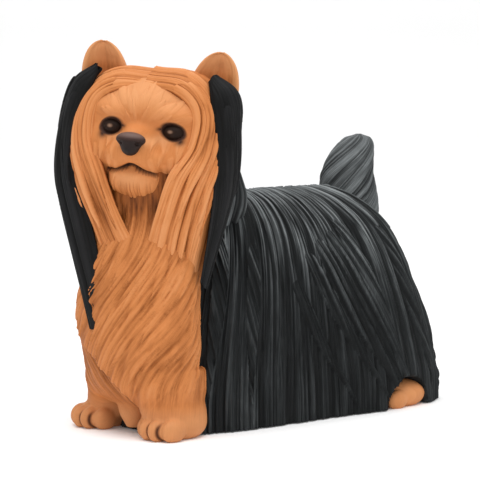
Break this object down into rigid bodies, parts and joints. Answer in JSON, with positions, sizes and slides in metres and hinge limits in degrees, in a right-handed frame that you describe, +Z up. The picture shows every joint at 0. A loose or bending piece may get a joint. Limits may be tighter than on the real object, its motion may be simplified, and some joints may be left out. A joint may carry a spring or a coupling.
{
  "type": "yorkshire terrier toy figure",
  "caption": "Moulded, painted toy figure of a long-coated Yorkshire terrier, standing on its paws and coat hem with its head turned to its left.",
  "frame": {"origin": "on the surface that the figure stands on, under the middle of its bounding box", "axes": "+Z up, -Y the way the body faces, +X the dog's left; the head is turned about 33 degrees to its left"},
  "size_m": [0.029, 0.0738, 0.0646],
  "materials": {
    "tan_paint": "matt tan paint on soft vinyl, brown wash in the grooves",
    "grey_paint": "matt dark blue-grey paint, light grey dry-brushed on the ridges",
    "black_paint": "matt near-black paint",
    "nose_paint": "satin dark brown paint",
    "eye_paint": "satin dark brown paint with a small grey glint"
  },
  "bodies": {
    "root": {"head": "tan_paint", "nape": "grey_paint", "chest": "tan_paint", "torso": "grey_paint", "front_leg_left": "tan_paint", "front_leg_right": "tan_paint", "hind_leg_left": "tan_paint", "hind_leg_right": "tan_paint", "tail": "grey_paint", "nose": "nose_paint", "eye_left": "eye_paint", "ear_left": "tan_paint", "hair_fall_left": "tan_paint", "ear_fringe_left": "black_paint", "eye_right": "eye_paint", "ear_right": "tan_paint", "hair_fall_right": "tan_paint", "ear_fringe_right": "black_paint"}
  },
  "joints": []
}
